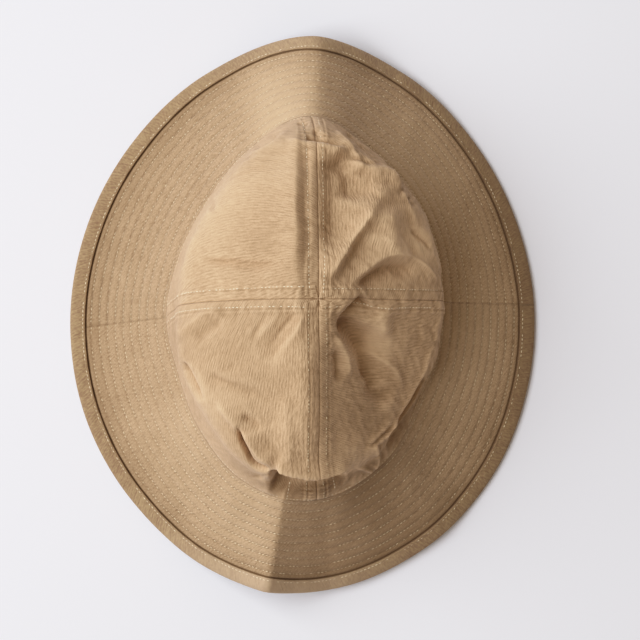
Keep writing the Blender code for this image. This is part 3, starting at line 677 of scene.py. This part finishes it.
def twill_cloth(name, dyes, weave_mm, rib_share, grain_share, contrast, ripple_mm=0.0):
    """Cotton twill in two dyes, with a third colour for painted shade and a fourth for painted
    light and worn crests.
    """
    pale, deep, painted_shade_colour, painted_light_and_wear_colour = (dye(colour) for colour in dyes)
    usual = 0.7 + 0.5 * grain_share
    rows = (
        *weave_rows(rib_share, grain_share),
        ("faded", "TexNoise", {}, {"Vector": "cloth", "Scale": 1 / FADE_PATCH_MM, "Detail": 3.0}),
        ("tone", "Math", MULTIPLY_ADD, {0: "faded", 1: FADE_SHARE, 2: "weave"}),
        ("height", "Math", MULTIPLY, {0: "weave", 1: weave_mm}),
        *(stitch_ripple_rows(ripple_mm) if ripple_mm else ()),
        ("odd", "Math", {"operation": "SUBTRACT"}, {0: "tone", 1: usual}),
        ("share", "Math", MULTIPLY_ADD, {0: "odd", 1: contrast, 2: 0.5}),
        ("dyed", "Mix", COLOURS, {0: "share", 6: deep, 7: pale}, 2),
        # Above 0 this mixes in the painted shade colour, below 0 the colour of painted light and
        # worn crests.
        ("unfaded", "Attribute", {"attribute_name": "unfaded"}, {}, "Fac"),
        ("in_folds", "Mix", COLOURS, {0: "unfaded", 6: "dyed", 7: painted_shade_colour}, 2),
        ("bare", "Math", MULTIPLY, {0: "unfaded", 1: -1.0}),
        ("whole", "Mix", COLOURS, {0: "bare", 6: "in_folds", 7: painted_light_and_wear_colour}, 2),
        ("bump", "Bump", {}, {"Height": "height", "Distance": MM}),
    )
    material, shader = new_material(name)
    tree = material.node_tree
    made = {}
    for row in rows:
        add_node(tree, made, *row)
    tree.links.new(made["whole"], shader.inputs["Base Color"])
    tree.links.new(made["bump"], shader.inputs["Normal"])
    for socket, value in COTTON.items():
        shader.inputs[socket].default_value = value
    print(f"{name}: {len(rows)} nodes")
    return material


def plain_material(name, colour, roughness):
    """One colour all over, as a thread or paper has."""
    material, shader = new_material(name)
    shader.inputs["Base Color"].default_value = dye(colour)
    shader.inputs["Roughness"].default_value = roughness
    return material


# Each cloth: two dyes, a darker colour painted where shade falls, and a paler one painted where
# light falls, which also stands for worn crests.
CROWN_TWILL = twill_cloth(
    "crown_cotton_twill", ("#D2B595", "#AC9072", "#866A4C", "#E3C7A6"),
    weave_mm=0.5, rib_share=0.08, grain_share=0.3, contrast=2.1,
)
BRIM_TWILL = twill_cloth(
    "brim_cotton_twill", ("#C2A88B", "#9A8064", "#755B3D", "#D3B999"),
    weave_mm=0.35, rib_share=0.02, grain_share=0.8, contrast=1.6, ripple_mm=0.3,
)
BINDING_TWILL = twill_cloth(
    "binding_cotton_twill", ("#AD9676", "#927860", "#6A5038", "#C8B198"),
    weave_mm=0.35, rib_share=0.04, grain_share=0.8, contrast=2.4,
)
# Spun polyester thread, a little smoother than the cloth that it holds.
THREAD_ROUGHNESS = 0.6
CREAM_THREAD = plain_material("cream_sewing_thread", "#EADCC0", THREAD_ROUGHNESS)
WORN_THREAD = plain_material("worn_sewing_thread", "#DFCFB1", THREAD_ROUGHNESS)
PALE_THREAD = plain_material("pale_sewing_thread", "#F2E6CE", THREAD_ROUGHNESS)


# %% [markdown]
# ## The four crown panels
#
# A quarter of the disc is filled by an even square grid whose corner lies on the apex. Two
# of its sides run down the seams and the other two share the arc at the brim. The weave is
# laid out from the panel's middle line, where a cutter puts the grain.

# %% Crown panels
PANEL_STEPS = 150
SEAM_CELL_SHARE = 0.4
BEND_CELLS = 2
FULL_BEND = 0.08
# The hollow of a fold is painted darker as shade, and a crest paler as wear: how much of each.
FOLD_PAINTED_SHADE, FOLD_WEAR = 0.3, 0.45
# Painted light and shade on the crown: paler than the rest where the share is positive, darker
# where it is negative. Each row: x, y, share and how far it reaches.
PAINTED_LIGHT_PLACES = (
    (42, 42, 0.35, 15), (66, 38, 0.7, 14), (42, -15, 0.75, 13), (-68, -14, -0.25, 16),
    (40, -60, -0.35, 15), (72, -16, -0.25, 12), (-45, 55, 0.25, 30), (-12, 90, 0.3, 14),
    (-20, 42, -0.35, 14), (-44, -50, 0.3, 14), (28, -84, 0.4, 12),
)
# The back wall under its lip is painted darker: a painted shadow of the lip.
LIP_PAINTED_SHADOW = 0.8
LIP_CLOCK, LIP_SPREAD = 270.0, 24.0
LIP_FROM, LIP_WEAKENS, LIP_LOSS = (0.76, 0.82), (0.84, 0.97), 0.7


def quarter_grid(side_x, side_y, steps):
    """Disc places of a panel's grid, row by row, with two of its edges on the seams."""
    even = np.linspace(0.0, 1.0, steps + 1)
    share = even * (SEAM_CELL_SHARE + (1 - SEAM_CELL_SHARE) * even * (2 - even))
    first, second = (grid.ravel() for grid in np.meshgrid(share, share, indexing="ij"))
    down = np.maximum(first, second)
    ratio = np.minimum(first, second) / np.maximum(down, 1e-9)
    turn = np.where(first >= second, ratio, 2.0 - ratio) * math.pi / 4
    return side_x * down * np.cos(turn), side_y * down * np.sin(turn)


def grid_normals(grid, flip):
    """Unit normals of a grid of points."""
    normal = np.cross(np.gradient(grid, axis=1), np.gradient(grid, axis=2), axis=0)
    return unit(normal.reshape(3, -1)) * (-1 if flip else 1)


def fold_shade(grid, normal):
    """Above 0 in a fold, painted shade darkening its hollow, and below 0 on a crest, where the
    cloth wears pale.
    """
    far = BEND_CELLS
    wide = np.pad(grid, ((0, 0), (far, far), (far, far)), mode="reflect", reflect_type="odd")
    near = [
        wide[:, : -2 * far, far:-far], wide[:, 2 * far :, far:-far],
        wide[:, far:-far, : -2 * far], wide[:, far:-far, 2 * far :],
    ]
    rise = sum(near) / 4 - grid
    spread = sum(((side - grid) ** 2).sum(axis=0) for side in near) / 4
    bend = (rise * normal.reshape(grid.shape)).sum(axis=0) / np.maximum(spread, 0.3)
    shade = np.tanh(bend.ravel() / FULL_BEND)
    return np.where(shade > 0, FOLD_PAINTED_SHADE, FOLD_WEAR) * shade


def crown_panel(name, side_x, side_y):
    """One quarter of the crown as a wall of cloth."""
    across, along = quarter_grid(side_x, side_y, PANEL_STEPS)
    flip = side_x * side_y < 0
    outside = crown_cloth(across, along)
    grid = outside.reshape(3, PANEL_STEPS + 1, -1)
    normal = grid_normals(grid, flip)
    normal[:, 0] = (0.0, 0.0, 1.0)
    points = np.concatenate((outside, outside - normal * PANEL_CLOTH), axis=1)
    points[0] += side_x * SEAM_GAP / 2
    points[1] += side_y * SEAM_GAP / 2

    clock, down = clock_and_down(across, along)
    reach = axis_reach(outside)
    middle = math.degrees(math.atan2(side_y, side_x))
    sideways = reach * np.radians(turned_from(clock, middle))
    cloth_uv = np.tile(np.stack((down * PROFILE_LENGTH, sideways), axis=1), (2, 1))

    shade = fold_shade(grid, normal) + seam_shade(clock, reach)
    # Patches of painted light and painted shade.
    for x, y, share, reach_mm in PAINTED_LIGHT_PLACES:
        shade -= share * bell(np.hypot(outside[0] - x, outside[1] - y) / reach_mm)
    # The lip's painted shadow on the back wall, weaker towards the brim.
    under_lip = bell((clock - LIP_CLOCK) / LIP_SPREAD) * ease(*LIP_FROM, down)
    shade += LIP_PAINTED_SHADOW * under_lip * (1.0 - LIP_LOSS * ease(*LIP_WEAKENS, down))

    faces = slab_faces(PANEL_STEPS + 1, PANEL_STEPS + 1)
    faces = faces if flip else faces[:, ::-1]
    return make_piece(name, points.T, faces, cloth_uv, CROWN_TWILL, np.tile(shade, 2))


PANEL_SIDES = {
    "front_right": (1, 1), "front_left": (-1, 1), "back_left": (-1, -1), "back_right": (1, -1),
}
for panel, (side_x, side_y) in PANEL_SIDES.items():
    piece = crown_panel(f"twill_{panel}", side_x, side_y)
    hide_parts(f"crown_{panel}")
    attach(piece, "root")


# %% [markdown]
# ## The brim's surface
#
# Ten rings of stitches hold the brim's two layers of twill together, and each draws the
# cloth down into a fine valley. The brim rises in two big folds, a soft one in front and a
# crisp one behind.

# %% Brim surface
BRIM_ROWS = 10
FIRST_ROW_SHARE = 0.035
ROW_STEP_SHARE = 0.0995
ROW_VALLEY, ROW_VALLEY_WIDTH = 0.26, 1.3
GROOVE_DEPTH, GROOVE_WIDTH, GROOVE_OFFSET = 0.5, 0.55, 0.25
BRIM_WANDER, WANDER_BEGINS, WANDER_ENDS = 0.35, (0.0, 0.15), (0.7, 0.95)
# The brim's inner edge is cut upright, and its cloth stands square to its slope from here.
SQUARE_FROM = 0.3
# Painted light on the brim, where its folds and the crown's shadow leave it too dark: the clock
# angle, how much, and how far to each side in degrees. A negative share is painted shade.
# The next row is the same for the binding.
BRIM_PAINTED_LIGHT = (
    (99.0, 0.6, 11.0), (252.0, 0.25, 9.0), (225.0, 0.2, 20.0), (352.0, 0.25, 35.0),
    (52.0, 0.4, 20.0), (285.0, -0.45, 14.0),
)
BINDING_PAINTED_LIGHT = ((90.0, 0.25, 20.0), (262.0, 0.65, 20.0), (0.0, -0.35, 45.0))
# The painted light is strongest by the crown and weaker further out: shares at 0, and lost at 1.
PAINTED_LIGHT_INNER, PAINTED_LIGHT_LOST = 1.2, 0.7
# The brim is painted darker towards its edge, between these shares of the way out.
OUTER_DARKENING, OUTER_BRIM = 0.3, (0.55, 0.9)
brim_wander = ripples(seed=21, shortest=9.0, longest=32.0, count=14)


def painted_light_round(table, clock):
    """How much paler than the rest each clock angle is painted, as painted light."""
    return sum(share * bell(turned_from(clock, at) / width) for at, share, width in table)


def brim_middle(clock, out):
    """The middle of the brim's cloth: out is 0 at the crown seam and 1 at the edge."""
    inner = around("seam_reach", clock)
    outer = around("outline_reach", clock) - BINDING_NOSE
    low = around("edge_height", clock)
    high = around("seam_height", clock)
    height = high + (low - high) * out - around("brim_sag", clock) * 4 * out * (1 - out)
    height = height + brim_fold_lift(clock, out)
    return from_axis(inner + (outer - inner) * out, clock + around("swing", clock), height)


def brim_face(clock, out, lift):
    """A point above or below the brim's middle."""
    middle = brim_middle(clock, out)
    normal = -outward(brim_middle, clock, out)
    upright = np.array([[0.0], [0.0], [1.0]])
    way = unit(upright + (normal - upright) * ease(0.0, SQUARE_FROM, out))
    return middle + way * lift / (way * normal).sum(axis=0)


def brim_rim(clock, beyond, lift):
    """A point beyond the brim's edge, along its own slope, and above it."""
    edge = np.ones_like(clock)
    middle = brim_middle(clock, edge)
    slope = unit(middle - brim_middle(clock, edge - 0.01))
    return middle + slope * beyond - outward(brim_middle, clock, edge) * lift


def brim_width(clock):
    """The cloth's length from crown seam to edge."""
    ends = (brim_middle(clock, np.full_like(clock, end)) for end in (1.0, 0.0))
    return np.linalg.norm(np.subtract(*ends), axis=0)


def groove_share(clock):
    """Where the binding's inner edge lies, as a share of the way out."""
    return 1.0 - BINDING_WIDTH / brim_width(clock)


def row_share(row, groove):
    """Where a ring of stitches lies, as a share of the way out."""
    return (FIRST_ROW_SHARE + ROW_STEP_SHARE * row) * groove


def row_number(out, groove):
    """Which row of stitches a place lies on, with a fraction between rows."""
    return (out / groove - FIRST_ROW_SHARE) / ROW_STEP_SHARE


def quilting(clock, out):
    """How far stitches draw the brim's cloth down, in mm, and the groove at its edge."""
    groove = groove_share(clock)
    width = brim_width(clock)
    place = row_number(out, groove)
    nearest = np.clip(np.round(place), 0, BRIM_ROWS - 1)
    away = np.abs(place - nearest) * ROW_STEP_SHARE * groove * width
    trench = bell(((out - groove) * width + GROOVE_OFFSET) / GROOVE_WIDTH)
    return -ROW_VALLEY * bell(away / ROW_VALLEY_WIDTH) - GROOVE_DEPTH * trench, trench


def brim_unevenness(clock, out):
    """The brim's slow wander, in mm, which dies away at both its edges."""
    middle = brim_middle(clock, out)
    inside = ease(*WANDER_BEGINS, out) * (1 - ease(*WANDER_ENDS, out))
    return BRIM_WANDER * brim_wander(middle[0], middle[1]) * inside


# %% [markdown]
# ## The brim's two halves
#
# Grid lines go where the form needs them: wide apart on the puffs between two rings of
# stitches, close in their valleys. Both faces are quilted, since the needle goes through.

# %% Brim halves
BRIM_STEPS_ROUND = 340
LINES_BY_A_ROW = (-2.3, -1.4, -0.75, -0.3, 0.0, 0.3, 0.75, 1.4)
LINES_AT_THE_GROOVE = (-1.2, -0.6, -0.2, 0.2, 0.6, 1.2, 4.0)
MEAN_BRIM_WIDTH = 66.0
EVEN_GROOVE = 1.0 - BINDING_WIDTH / MEAN_BRIM_WIDTH
SIDE_SEAM_REACH = 110.0
# A side seam of the brim: its valley, its width, and the painted shade along it.
SIDE_SEAM_VALLEY, SIDE_SEAM_WIDTH, SIDE_SEAM_PAINTED_SHADE = 0.2, 0.5, 0.25
UNDER_VALLEY_SHARE = 0.7


def brim_stations():
    """Shares of the way out where grid lines run, for a brim of even width."""
    stations = [0.0, 1.0]
    for row in range(BRIM_ROWS):
        at = row_share(row, EVEN_GROOVE)
        stations += [at + line / MEAN_BRIM_WIDTH for line in LINES_BY_A_ROW]
    stations += [EVEN_GROOVE + line / MEAN_BRIM_WIDTH for line in LINES_AT_THE_GROOVE]
    return np.array(sorted(share for share in stations if share >= 0.0))


def arc_length(clocks, out):
    """How far along its own ring each grid point lies, in mm."""
    share = out.reshape(len(clocks), -1)
    rings = brim_middle(np.repeat(clocks, share.shape[1]), share.ravel())
    steps = np.linalg.norm(np.diff(rings.reshape(3, len(clocks), -1), axis=1), axis=0)
    return np.concatenate((np.zeros((1, share.shape[1])), np.cumsum(steps, axis=0))).ravel()


def brim_half(name, first_clock, side_y):
    """Half of the brim, from one side seam to the other, as a quilted wall."""
    clocks = first_clock + np.linspace(0.0, 180.0, BRIM_STEPS_ROUND + 1)
    even = brim_stations()
    clock, share = (grid.ravel() for grid in np.meshgrid(clocks, even, indexing="ij"))
    groove = groove_share(clock)
    outer_part = groove + (share - EVEN_GROOVE) / (1 - EVEN_GROOVE) * (1 - groove)
    out = np.where(share <= EVEN_GROOVE, share / EVEN_GROOVE * groove, outer_part)
    sink, trench = quilting(clock, out)
    wander = brim_unevenness(clock, out)
    to_end = np.minimum(clock - first_clock, first_clock + 180.0 - clock)
    seam_line = bell(np.radians(to_end) * SIDE_SEAM_REACH / SIDE_SEAM_WIDTH)
    thick = BRIM_CLOTH / 2 - SIDE_SEAM_VALLEY * seam_line
    over = brim_face(clock, out, thick + sink + wander)
    under = brim_face(clock, out, wander - thick - sink * UNDER_VALLEY_SHARE)
    points = np.concatenate((over, under), axis=1)
    points[1] += side_y * SEAM_GAP / 2

    cloth_uv = np.tile(brim_middle(clock, out)[:2].T, (2, 1))
    row = np.clip(row_number(out, groove), -0.5, BRIM_ROWS - 0.5)
    rows_uv = np.tile(np.stack((arc_length(clocks, out), row), axis=1), (2, 1))
    # Painted light round the brim, strongest by the crown; the next line darkens the brim towards
    # its edge.
    faded = painted_light_round(BRIM_PAINTED_LIGHT, clock) * (PAINTED_LIGHT_INNER - PAINTED_LIGHT_LOST * out) * (1 - trench)
    faded = faded - OUTER_DARKENING * ease(*OUTER_BRIM, out)
    # Painted shade in the groove by the binding and along the side seams, less the painted light.
    shade = np.tile(np.maximum(trench, SIDE_SEAM_PAINTED_SHADE * seam_line) - faded, 2)
    faces = slab_faces(len(clocks), len(even))
    return make_piece(name, points.T, faces, cloth_uv, BRIM_TWILL, shade, rows_uv)


for half, (first_clock, side_y) in {"front": (0.0, 1), "back": (180.0, -1)}.items():
    piece = brim_half(f"quilted_{half}", first_clock, side_y)
    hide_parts(f"brim_{half}")
    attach(piece, "root")


# %% [markdown]
# ## The binding
#
# A strip of the same twill, folded in half over the raw edge and stitched through, is swept
# round the brim as a ring of cross-sections. The strip is cut straight and the edge is
# curved, so it puckers between the stitches, most of all on its folded inner lips.

# %% Binding
BINDING_STEPS_ROUND = 900
EDGE_REACH = 150.0
BINDING_LIFT = BRIM_CLOTH / 2 + BINDING_CLEARANCE / 2
# Each face of the strip: how far in from its lip, how far it stands out past its thickness,
# and how much it puckers there.
BINDING_FACE = (
    (0.0, -0.55, 0.225), (0.25, -0.15, 0.3), (0.8, 0.05, 0.375), (1.5, -0.1, 0.15),
    (2.4, 0.05, 0.3), (4.0, 0.15, 0.45), (6.0, 0.15, 0.375), (7.8, 0.05, 0.15),
)
# Its rounded nose: shares of how far it juts out, and of its thickness to each side.
BINDING_ROUND = ((0.3, 0.92), (0.75, 0.62))
# The binding's folded lips are painted darker, as painted shade in the groove beside them.
LIP_SHADE = 0.6
# The underside puckers out of step with the top by this much.
UNDER_PHASE = 40.0
LINING_FROM_EDGE = 4.0
binding_wander = ripples(seed=31, shortest=5.0, longest=16.0, count=16)


def edge_binding(name):
    """The folded strip as a closed ring, flattened where it meets the table."""
    clock = np.linspace(0.0, 360.0, BINDING_STEPS_ROUND, endpoint=False)
    length = np.radians(clock) * EDGE_REACH
    outside = BINDING_LIFT + BINDING_CLOTH
    width = brim_width(clock)

    def leg(from_edge, lift, pucker=0.0, phase=0.0):
        wave = pucker * binding_wander(length + phase, np.full_like(length, phase * 3 + from_edge))
        return brim_face(clock, 1.0 - from_edge / width, lift + np.sign(lift) * wave)

    def face(side, phase):
        """One face from lip to nose, with side 1 on top and -1 below."""
        flat = [
            leg(BINDING_WIDTH - at, side * (outside + stands), pucker, phase)
            for at, stands, pucker in BINDING_FACE
        ]
        bent = [
            brim_rim(clock, BINDING_NOSE * beyond, side * outside * share)
            for beyond, share in BINDING_ROUND
        ]
        return flat + bent

    def lining(side):
        """That face's hidden side, from under its lip to the brim's edge."""
        lift = side * BINDING_LIFT
        flat = [leg(BINDING_WIDTH, lift), leg(LINING_FROM_EDGE, lift)]
        return flat + [brim_rim(clock, BINDING_CLEARANCE / 2, lift)]

    ring = [*face(1, 0.0), brim_rim(clock, BINDING_NOSE, 0.0), *face(-1, UNDER_PHASE)[::-1]]
    seen = len(ring)
    ring += [*lining(-1), *lining(1)[::-1]]
    points = np.stack(ring, axis=1).reshape(3, -1)
    points[2] = np.maximum(points[2], 0.0)

    stops, steps = len(ring), BINDING_STEPS_ROUND
    cells = np.arange(stops * steps).reshape(stops, steps)
    after = np.roll(cells, -1, axis=0)
    corners = (cells, after, np.roll(after, -1, axis=1), np.roll(cells, -1, axis=1))
    faces = np.stack(corners, axis=-1)
    down_mm = np.repeat(np.linspace(0, 2 * BINDING_WIDTH, stops), steps)
    cloth_uv = np.stack((np.tile(length, stops), down_mm), axis=1)
    # Painted shade on both lips, and full painted shade on the hidden lining.
    shade = np.zeros(stops)
    shade[[0, seen - 1]] = LIP_SHADE
    shade[seen:] = 1.0
    # Painted light and shade round the binding.
    shade = (shade[:, None] - painted_light_round(BINDING_PAINTED_LIGHT, clock)).ravel()
    return make_piece(name, points.T, faces.reshape(-1, 4), cloth_uv, BINDING_TWILL, shade)


piece = edge_binding("folded_binding")
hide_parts("edge_binding")
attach(piece, "root")


# %% [markdown]
# ## Stitches
#
# Each stitch is a short thread that rises out of the cloth and dives back in. One small
# ball is stretched and copied along every row at the machine's pitch, turned to the row and
# laid into its valley, each copy a little longer or deeper, as on washed cloth.

# %% Stitches
THREAD_MM = 0.62
# How far stitches differ: shares of the usual length and thickness, and depth in mm.
LENGTHS, THICKNESSES, DEPTHS = (0.8, 1.1), (0.6, 1.15), (-0.22, 0.10)
FLATNESS = 0.8
CROWN_PITCH = 2.2
STITCH_SHARE = 0.72
# Rows beside the crown's seams: the seam's clock angle, which side of it, and how far off.
SEAM_ROWS = (
    (0.0, 1, 6.0), (0.0, -1, 4.2), (90.0, 1, 5.8), (90.0, -1, 3.2), (180.0, 1, 4.0),
    (180.0, -1, 6.4),
)
BACK_SEAM_ROWS = ((270.0, 1, 4.2), (270.0, -1, 6.0))
# Short rows on the back wall: the clock angle, and where each starts and ends.
TACK_ROWS = ((261.4, 0.74, 0.99), (275.7, 0.74, 0.90))
BASE_ROW_FROM_SEAM = 3.0
BINDING_ROW_FROM_LIP, BINDING_ROW_SINK = 1.6, 0.1
# A seam's rows run from near the top to the brim, and start clear of the cross of the seams.
SEAM_ROW_ENDS, CROSS_CLEARANCE = (0.01, 0.985), 1.45
RING_STOPS, SEAM_STOPS, TACK_STOPS = 1440, 400, 60


def unit_stitch():
    """The points and faces of one stitch of unit length, along X."""
    bpy.ops.object.select_all(action="DESELECT")
    bpy.ops.mesh.primitive_uv_sphere_add(segments=6, ring_count=3, radius=0.5)
    ball = bpy.context.object
    ball.rotation_euler = (0.0, math.pi / 2, 0.0)
    bpy.ops.object.transform_apply(rotation=True)
    points = np.array([vertex.co[:] for vertex in ball.data.vertices])
    faces = [tuple(face.vertices) for face in ball.data.polygons]
    bpy.data.meshes.remove(ball.data)
    return points, faces


UNIT_POINTS, UNIT_FACES = unit_stitch()
uneven = np.random.default_rng(5)


def stitches_on(line, normal, pitch):
    """Points of all the stitches on a row, from its line and normals in mm."""
    steps = np.linalg.norm(np.diff(line, axis=1), axis=0)
    length = np.concatenate(([0.0], np.cumsum(steps)))
    at = np.arange(pitch / 2, length[-1] - pitch / 2, pitch)
    half = pitch * STITCH_SHARE / 2 * uneven.uniform(*LENGTHS, len(at))
    tail, head, up = (
        np.stack([np.interp(where, length, axis) for axis in way])
        for where, way in ((at - half, line), (at + half, line), (at, normal))
    )
    along = head - tail
    side = unit(np.cross(up.T, along.T).T)
    up = unit(np.cross(along.T, side.T).T)
    thick = THREAD_MM * uneven.uniform(*THICKNESSES, len(at))
    middle = (tail + head) / 2 + up * uneven.uniform(*DEPTHS, len(at))
    axes = np.stack((along, side * thick, up * thick * FLATNESS), axis=-1)
    return (middle[:, :, None] + axes @ UNIT_POINTS.T).reshape(3, -1).T


def stitch_piece(name, rows, thread):
    """All the stitches of some rows as one piece."""
    points = np.concatenate([stitches_on(*row) for row in rows])
    firsts = range(0, len(points), len(UNIT_POINTS))
    faces = [tuple(first + corner for corner in face) for first in firsts for face in UNIT_FACES]
    piece = link_mesh(name, points, faces, thread)
    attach(piece, "root")
    print(f"{name}: {len(firsts)} stitches")


def brim_row(row, clocks, side):
    """A ring of stitches laid in its valley on one face of the brim."""
    out = row_share(row, groove_share(clocks))
    sink, _ = quilting(clocks, out)
    lift = BRIM_CLOTH / 2 + sink * (1.0 if side > 0 else UNDER_VALLEY_SHARE)
    line = brim_face(clocks, out, side * lift + brim_unevenness(clocks, out))
    return line, -outward(brim_middle, clocks, out) * side, STITCH_PITCH


def binding_row(clocks, side):
    """A ring of stitches through the binding, just outside its inner lip."""
    out = 1.0 - (BINDING_WIDTH - BINDING_ROW_FROM_LIP) / brim_width(clocks)
    line = brim_face(clocks, out, side * (BINDING_LIFT + BINDING_CLOTH - BINDING_ROW_SINK))
    return line, -outward(brim_middle, clocks, out) * side, STITCH_PITCH


def crown_row(down, clock):
    """A row of places on the crown, with the way that its cloth faces."""
    place = disc_place(down, clock)
    return crown_cloth(*place), outward(crown_base, *place), CROWN_PITCH


def seam_row(seam, side, offset):
    """A row of topstitches beside a seam."""
    down = np.linspace(*SEAM_ROW_ENDS, SEAM_STOPS)
    reach = axis_reach(crown_base(*disc_place(down, seam)))
    keep = reach > offset * CROSS_CLEARANCE
    return crown_row(down[keep], seam + side * np.degrees(np.arcsin(offset / reach[keep])))


for half, first_clock in {"front": 0.0, "back": 180.0}.items():
    clocks = first_clock + np.linspace(0.0, 180.0, RING_STOPS // 2)
    for face, side in {"over": 1, "under": -1}.items():
        rows = [brim_row(row, clocks, side) for row in range(BRIM_ROWS)]
        stitch_piece(f"stitches_{half}_{face}", rows, WORN_THREAD)
ring = np.linspace(0.0, 360.0, RING_STOPS)
rows = [binding_row(ring, side) for side in (1, -1)]
stitch_piece("binding_stitches", rows, CREAM_THREAD)
rows = [seam_row(*row) for row in SEAM_ROWS]
rows += [crown_row(np.linspace(low, high, TACK_STOPS), clock) for clock, low, high in TACK_ROWS]
stitch_piece("crown_stitches", rows, PALE_THREAD)
rows = [seam_row(*row) for row in BACK_SEAM_ROWS]
stitch_piece("back_seam_stitches", rows, WORN_THREAD)
base = crown_row(np.full_like(ring, 1.0 - BASE_ROW_FROM_SEAM / PROFILE_LENGTH), ring)
stitch_piece("crown_base_stitches", [base], CREAM_THREAD)

# %% [markdown]
# ## Table, light and camera
#
# A pale table, one big soft light from the left, 47 degrees up, and a weak even light from
# all round. The camera looks straight down through a long lens. Its pictures have the
# contrast of a photo: a toe that deepens shade, and a shoulder near white.

# %% Stage
TABLE_SIZE = 8.0
TABLE_DROP = 0.0002
CAMERA_HEIGHT = 1.3
CAMERA_X, CAMERA_Y = 0.0107, -0.0027
VIEW_WIDTH = 0.3904
KEY_ELEVATION = math.radians(47)
KEY_AZIMUTH = math.radians(10)
KEY_DISTANCE = 2.8
KEY_SIZE = 2.9
KEY_WATTS = 99.0
KEY_COLOUR = (0.975, 0.99, 1.0)
ROOM_LIGHT = 0.305
CURVE_WHITE = 1.25
CURVE_POINTS = (
    (0.0, 0.0), (0.05, 0.036), (0.1, 0.082), (0.2, 0.185), (0.3, 0.295), (0.5, 0.51),
    (0.7, 0.71), (0.9, 0.855), (1.0, 0.91), (1.25, 0.97),
)


bpy.ops.object.select_all(action="DESELECT")
bpy.ops.mesh.primitive_plane_add(size=TABLE_SIZE, location=(0, 0, -TABLE_DROP))
table = bpy.context.object
table.name = "table_top"
table.data.materials.append(plain_material("white_paper", "#F0F3FF", 0.8))

light = bpy.data.lights.new("window_light", "AREA")
light.shape = "SQUARE"
light.size = KEY_SIZE
light.energy = KEY_WATTS
light.color = KEY_COLOUR
lamp = bpy.data.objects.new("window_light", light)
level = KEY_DISTANCE * math.cos(KEY_ELEVATION)
lamp.location = (
    -level * math.cos(KEY_AZIMUTH),
    level * math.sin(KEY_AZIMUTH),
    KEY_DISTANCE * math.sin(KEY_ELEVATION),
)
lamp.rotation_euler = (0.0, -(math.pi / 2 - KEY_ELEVATION), -KEY_AZIMUTH)
bpy.context.collection.objects.link(lamp)

world = bpy.data.worlds.new("pale_room")
world.use_nodes = True
background = world.node_tree.nodes["Background"]
background.inputs["Color"].default_value = dye("#FFEBD0")
background.inputs["Strength"].default_value = ROOM_LIGHT
bpy.context.scene.world = world

camera = bpy.data.cameras.new("camera")
camera.sensor_width = 36.0
camera.lens = camera.sensor_width * CAMERA_HEIGHT / VIEW_WIDTH
camera.clip_start = 0.05
eye = bpy.data.objects.new("camera", camera)
eye.location = (CAMERA_X, CAMERA_Y, CAMERA_HEIGHT)
bpy.context.collection.objects.link(eye)
bpy.context.scene.camera = eye

view = bpy.context.scene.view_settings
view.view_transform = "Standard"
view.use_curve_mapping = True
mapping = view.curve_mapping
mapping.white_level = (CURVE_WHITE,) * 3
points = mapping.curves[3].points
while len(points) > 2:
    points.remove(points[1])
for level_in, shown in CURVE_POINTS[1:-1]:
    points.new(level_in / CURVE_WHITE, shown)
points[0].location = CURVE_POINTS[0]
points[len(points) - 1].location = (1.0, CURVE_POINTS[-1][1])
mapping.update()
print("stage:", table.name, light.name, camera.name)
